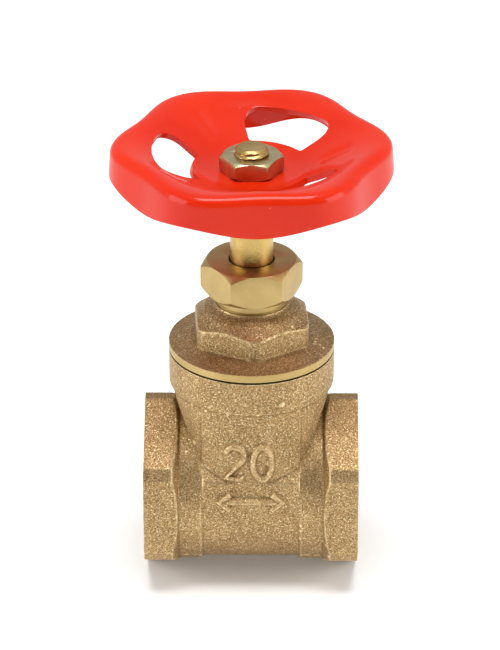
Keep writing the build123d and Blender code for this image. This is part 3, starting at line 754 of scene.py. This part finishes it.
def make_valve_body():
    casting = cad_copy("body", "casting")
    stretch_machined_faces(casting)
    solids = [casting, bore_plug(-1), bore_plug(1)] + make_relief() + make_pimples()
    body = join("valve_casting", solids)
    discard(*solids)
    as_cast(body, CAST_VOXEL, CAST_SMOOTHING)
    with_finish(body, cast_brass)
    reach = CUTTER_REACH
    for side in (-1, 1):
        near, far = side * FACE_X, side * (FACE_X + 4 * STOCK)
        slab = facing_cut((min(near, far), -reach, -reach), (max(near, far), reach, reach))
        cut(body, with_finish(slab, machined_brass))
    top = facing_cut((-reach, -reach, RING_TOP), (reach, reach, RING_TOP + 4 * STOCK))
    cut(body, with_finish(top, machined_brass))
    bore = turned("bore", [
        (0, -FACE_X),
        (WATERWAY_RADIUS, -FACE_X),
        (WATERWAY_RADIUS, FACE_X),
        (0, FACE_X),
    ])
    cut(body, with_finish(lay_along_pipe(point_normals_out(bore), 1), machined_brass))
    for side in (-1, 1):
        cut(body, with_finish(tap(side), machined_brass))
    smooth(body, 38)
    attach(body, "valve_body")
    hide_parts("body")


# ---------------------------------------------------------------- cast bonnet
def lathe_cut(profile):
    """Ring of metal taken off on the lathe, from (radius, z) points."""
    return with_finish(point_normals_out(turned("lathe_cut", profile)), machined_brass)


def make_valve_bonnet():
    bonnet = cad_copy("bonnet", "bonnet_casting")
    for vertex in bonnet.data.vertices:
        place = vertex.co
        radius = math.hypot(place.x, place.y)
        on_edge = radius > FLANGE_RADIUS - SAME_PLACE
        on_nose = place.z > TURNED_NECK_Z - SAME_PLACE and radius > TURNED_NECK_RADIUS - SAME_PLACE
        if on_edge or on_nose:
            grown = (radius + STOCK / 2) / radius
            place.x *= grown
            place.y *= grown
    as_cast(bonnet, BONNET_VOXEL, BONNET_SMOOTHING)
    with_finish(bonnet, cast_brass)
    outside = FLANGE_RADIUS + 3 * STOCK
    cut(bonnet, lathe_cut([
        (FLANGE_RADIUS, gasket_high.z - STOCK),
        (outside, gasket_high.z - STOCK),
        (outside, FLANGE_EDGE_TOP + STOCK),
        (FLANGE_RADIUS, FLANGE_EDGE_TOP + STOCK),
    ]))
    wide = NOSE_RADIUS + 3 * STOCK
    cut(bonnet, lathe_cut([
        (TURNED_NECK_RADIUS, TURNED_NECK_Z + STOCK / 4),
        (TURNED_NECK_RADIUS + STOCK / 4, TURNED_NECK_Z),
        (wide, TURNED_NECK_Z),
        (wide, bonnet_high.z + STOCK),
        (NOSE_RADIUS, bonnet_high.z + STOCK),
        (NOSE_RADIUS, gland_low.z),
        (TURNED_NECK_RADIUS, gland_low.z),
    ]))
    smooth(bonnet, 38)
    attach(bonnet, "valve_body")
    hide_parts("bonnet")


# ---------------------------------------------------------------- nuts and stem tip
def make_eased_nut(node, name, body_name, material):
    """The nut with its sharp edges broken, as tumbling and plating leave them."""
    nut = cad_copy(node, name)
    edit = bmesh.new()
    edit.from_mesh(nut.data)
    bmesh.ops.dissolve_limit(
        edit, angle_limit=math.radians(1.0), verts=edit.verts, edges=edit.edges, delimit=set()
    )
    edit.to_mesh(nut.data)
    edit.free()
    ease = nut.modifiers.new("ease", "BEVEL")
    ease.width = EDGE_EASE
    ease.segments = 2
    ease.limit_method = "ANGLE"
    ease.angle_limit = math.radians(18)
    ease.harden_normals = False
    settle(nut)
    with_finish(nut, material)
    smooth(nut, 30)
    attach(nut, body_name)
    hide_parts(node)


def make_stem_tip():
    """Threaded end of the stem that stands out of the wheel nut."""
    crest = STUB_THREAD_RADIUS
    root = crest - STUB_THREAD_DEPTH
    top = stem_high.z

    def radius_at(turn, z):
        radius = screw_radius(turn, z, STUB_PITCH, root, crest)
        into_chamfer = z - (top - STUB_CHAMFER)
        if into_chamfer > 0:
            radius = min(radius, crest - STUB_CHAMFER_INSET - into_chamfer)
        return radius

    places = spread(nut_low.z + STUB_PITCH, top + TIP_COVER, STUB_PITCH / 10)
    tip = threaded_bar("stem_tip_thread", places, radius_at, steps=96)
    with_finish(tip, stem_brass)
    smooth(tip, 35)
    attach(tip, "stem_and_wheel")


# ---------------------------------------------------------------- handwheel
def wheel_wave(angle):
    """1 on a lobe of the rim and -1 in a notch."""
    return math.cos(WHEEL_LOBES * (angle - FIRST_LOBE))


def lean(x, y):
    """Height that the wheel's slight lean adds, none under its nut."""
    share = (math.hypot(x, y) - LEAN_START) / (LEAN_FULL - LEAN_START)
    return WHEEL_LEAN * y * min(1.0, max(0.0, share))


def dish_height(radius):
    return HUB_TOP + float(np.interp(radius, DISH_RADII, DISH_RISES))


def window_half_angle(radius):
    """Half the angle that a window takes up at this radius, with its corners rounded."""
    share = (radius - HUB_CIRCLE) / (WINDOW_TOP - HUB_CIRCLE)
    straight = WINDOW_INNER_HALF + (WINDOW_OUTER_HALF - WINDOW_INNER_HALF) * share
    outer_start = WINDOW_TOP - OUTER_CORNER
    if radius > outer_start:
        rise = min(radius - outer_start, OUTER_CORNER)
        straight -= (OUTER_CORNER - math.sqrt(max(0.0, OUTER_CORNER**2 - rise**2))) / radius
    inner_end = HUB_CIRCLE + INNER_CORNER
    if radius < inner_end:
        drop = min(inner_end - radius, INNER_CORNER)
        straight -= (INNER_CORNER - math.sqrt(max(0.0, INNER_CORNER**2 - drop**2))) / radius
    return straight


def spoke_groove(radius, across):
    """Depth of the stiffening groove pressed along each spoke; across is metres from its middle."""
    along = (radius - GROOVE_START) / (GROOVE_END - GROOVE_START)
    if not 0.0 < along < 1.0:
        return 0.0
    fade = math.sin(math.pi * along) ** GROOVE_FADE
    return GROOVE_DEPTH * fade * math.exp(-((across / GROOVE_HALF_WIDTH) ** 2))


def wheel_rows():
    """Radii of the rows of the web, closer together where the window's corners turn."""
    hub = [WHEEL_HOLE] + HUB_ROWS
    corner = [HUB_CIRCLE + INNER_CORNER * (1 - math.cos(t)) for t in np.linspace(0, math.pi / 2, 5)]
    outer_start = WINDOW_TOP - OUTER_CORNER
    middle = spread(HUB_CIRCLE + INNER_CORNER, outer_start, 0.8 * MM)[1:-1]
    top = [outer_start + OUTER_CORNER * math.sin(t) for t in np.linspace(0, math.pi / 2, 8)]
    return hub, corner + middle + top


def wheel_columns(half_angle):
    """Angles of one third of the wheel: across the window, then across the spoke."""
    window = [half_angle * (2 * i / WINDOW_COLUMNS - 1) for i in range(WINDOW_COLUMNS)]
    spoke_start, spoke_end = half_angle, 2 * math.pi / 3 - half_angle
    span = spoke_end - spoke_start
    return window + [spoke_start + span * i / SPOKE_COLUMNS for i in range(SPOKE_COLUMNS)]


def rim_points(angle):
    """Section of the rim at this angle, from the dish over the crest and down the skirt."""
    wave = wheel_wave(angle)
    crest_radius = CREST_RADIUS + CREST_SWING * wave
    points = []
    start = dish_height(WINDOW_TOP)
    for share in np.linspace(0, 1, 9)[1:]:
        radius = WINDOW_TOP + share * (crest_radius - WINDOW_TOP)
        lift = math.sin(share * math.pi / 2)
        points.append((radius, start + (CREST_TOP - start) * lift))
    for turn in np.linspace(0, math.pi / 2, 7)[1:]:
        points.append((
            crest_radius + RIM_ROUND * math.sin(turn), CREST_TOP - RIM_ROUND * (1 - math.cos(turn))
        ))
    skirt_top_radius, skirt_top = points[-1]
    bottom_radius = SKIRT_RADIUS + SKIRT_SWING * wave
    bottom = SKIRT_NOTCH + (SKIRT_LOBE - SKIRT_NOTCH) * (1 + wave) / 2
    for share in np.linspace(0, 1, 8)[1:]:
        points.append((
            skirt_top_radius + share * (bottom_radius - skirt_top_radius),
            skirt_top + share * (bottom - skirt_top),
        ))
    return points


def make_wheel_sheet():
    """Outer skin of the pressed wheel as one quad grid with three openings."""
    hub, web = wheel_rows()
    rows = hub + web
    columns = 3 * (WINDOW_COLUMNS + SPOKE_COLUMNS)
    per_third = WINDOW_COLUMNS + SPOKE_COLUMNS
    vertices, faces, angles = [], [], []
    for radius in rows:
        half = window_half_angle(min(max(radius, HUB_CIRCLE), WINDOW_TOP))
        angles = []
        for third in range(3):
            start = FIRST_LOBE + third * 2 * math.pi / 3
            angles += [start + angle for angle in wheel_columns(half)]
        for angle in angles:
            from_window = (angle - FIRST_LOBE) % (2 * math.pi / 3)
            across = radius * math.sin(from_window - math.pi / 3)
            z = dish_height(radius) - spoke_groove(radius, across)
            vertices.append((radius * math.cos(angle), radius * math.sin(angle), z))
    rims = [rim_points(angle) for angle in angles]
    for step in range(len(rims[0])):
        for angle, section in zip(angles, rims):
            radius, z = section[step]
            vertices.append((radius * math.cos(angle), radius * math.sin(angle), z))
    vertices = [(x, y, z + lean(x, y)) for x, y, z in vertices]
    open_rows = range(len(hub), len(rows) - 1)
    for row in range(len(rows) + len(rims[0]) - 1):
        for column in range(columns):
            if row in open_rows and column % per_third < WINDOW_COLUMNS:
                continue
            following = (column + 1) % columns
            low, high = row * columns, (row + 1) * columns
            faces.append((low + column, low + following, high + following, high + column))
    return mesh_object("handwheel_sheet", vertices, faces)


def make_wheel():
    wheel = make_wheel_sheet()
    edit = bmesh.new()
    edit.from_mesh(wheel.data)
    loose = [vertex for vertex in edit.verts if not vertex.link_faces]
    bmesh.ops.delete(edit, geom=loose, context="VERTS")
    bmesh.ops.recalc_face_normals(edit, faces=edit.faces)
    top_face = max(edit.faces, key=lambda face: face.calc_center_median().z)
    if top_face.normal.z < 0:
        bmesh.ops.reverse_faces(edit, faces=edit.faces)
    edit.to_mesh(wheel.data)
    edit.free()
    sheet = wheel.modifiers.new("sheet", "SOLIDIFY")
    sheet.thickness = WHEEL_SHEET
    sheet.offset = -1.0
    sheet.edge_crease_inner = RIM_CREASE
    sheet.edge_crease_outer = RIM_CREASE
    round_off = wheel.modifiers.new("round_off", "SUBSURF")
    round_off.levels = 1
    round_off.render_levels = 1
    settle(wheel)
    with_finish(wheel, red_enamel)
    smooth(wheel, 60)
    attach(wheel, "stem_and_wheel")
    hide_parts("handwheel")


make_valve_body()
make_valve_bonnet()
make_eased_nut("gland_nut", "gland_nut_eased", "gland_nut", machined_brass)
make_eased_nut("wheel_nut", "wheel_nut_eased", "stem_and_wheel", plated_steel)
make_stem_tip()
make_wheel()


# ---------------------------------------------------------------- camera, lights and floor
CAMERA_DISTANCE = 0.600
CAMERA_ELEVATION = math.radians(26.9)
CAMERA_AZIMUTH = math.radians(0.53)
CAMERA_LENS = 184.6
AIM = Vector((-0.00029, 0.0, 0.03135))


def make_camera():
    data = bpy.data.cameras.new("camera")
    data.lens = CAMERA_LENS
    camera = link(bpy.data.objects.new("camera", data))
    back = Vector((
        math.sin(CAMERA_AZIMUTH) * math.cos(CAMERA_ELEVATION),
        -math.cos(CAMERA_AZIMUTH) * math.cos(CAMERA_ELEVATION),
        math.sin(CAMERA_ELEVATION),
    ))
    camera.location = AIM + CAMERA_DISTANCE * back
    camera.rotation_mode = "QUATERNION"
    camera.rotation_quaternion = (-back).to_track_quat("-Z", "Y")
    bpy.context.scene.camera = camera


def make_softbox(name, place, width, height, watts):
    """Rectangular light that faces the valve."""
    data = bpy.data.lights.new(name, "AREA")
    data.shape = "RECTANGLE"
    data.size = width
    data.size_y = height
    data.energy = watts
    lamp = link(bpy.data.objects.new(name, data))
    lamp.location = place
    aim = AIM - Vector(place)
    lamp.rotation_mode = "QUATERNION"
    lamp.rotation_quaternion = aim.to_track_quat("-Z", "Y")


def make_sky():
    """Pale studio, a little greyer overhead and dark on the camera's side."""
    world = bpy.data.worlds.new("studio")
    bpy.context.scene.world = world
    world.use_nodes = True
    tree = world.node_tree
    background = tree.nodes["Background"]
    direction = add(tree, "TexCoord").outputs["Generated"]
    parts = add(tree, "SeparateXYZ")
    wire(tree, direction, parts.inputs[0])
    height = ramp(tree, parts.outputs[2], -0.05, 0.7)
    wall = tint(tree, height, (0.72, 0.72, 0.72), (0.62, 0.62, 0.62))
    behind_camera = ramp(tree, parts.outputs[1], -0.1, -0.65)
    wire(tree, tint(tree, behind_camera, wall, (0.10, 0.10, 0.10)), background.inputs["Color"])
    background.inputs["Strength"].default_value = 0.9


def make_floor():
    half = 3.0
    z = cad_low.z - 0.02 * MM
    floor = mesh_object(
        "floor", [(-half, -half, z), (half, -half, z), (half, half, z), (-half, half, z)], [(0, 1, 2, 3)]
    )
    material, tree, shader = new_material("white_paper")
    shader.inputs["Base Color"].default_value = (0.95, 0.95, 0.95, 1.0)
    shader.inputs["Emission Color"].default_value = (1.0, 1.0, 1.0, 1.0)
    shader.inputs["Emission Strength"].default_value = 0.08
    shader.inputs["Roughness"].default_value = 0.9
    shader.inputs["Specular IOR Level"].default_value = 0.1
    floor.data.materials.append(material)


make_camera()
make_sky()
make_floor()
make_softbox("left_softbox", (-0.55, -0.20, 0.16), 0.42, 0.5, 2.3)
make_softbox("right_softbox", (0.55, -0.17, 0.16), 0.42, 0.5, 2.3)
make_softbox("top_softbox", (0.0, -0.13, 0.8), 0.5, 0.35, 5.6)
bpy.context.scene.view_settings.view_transform = "Standard"
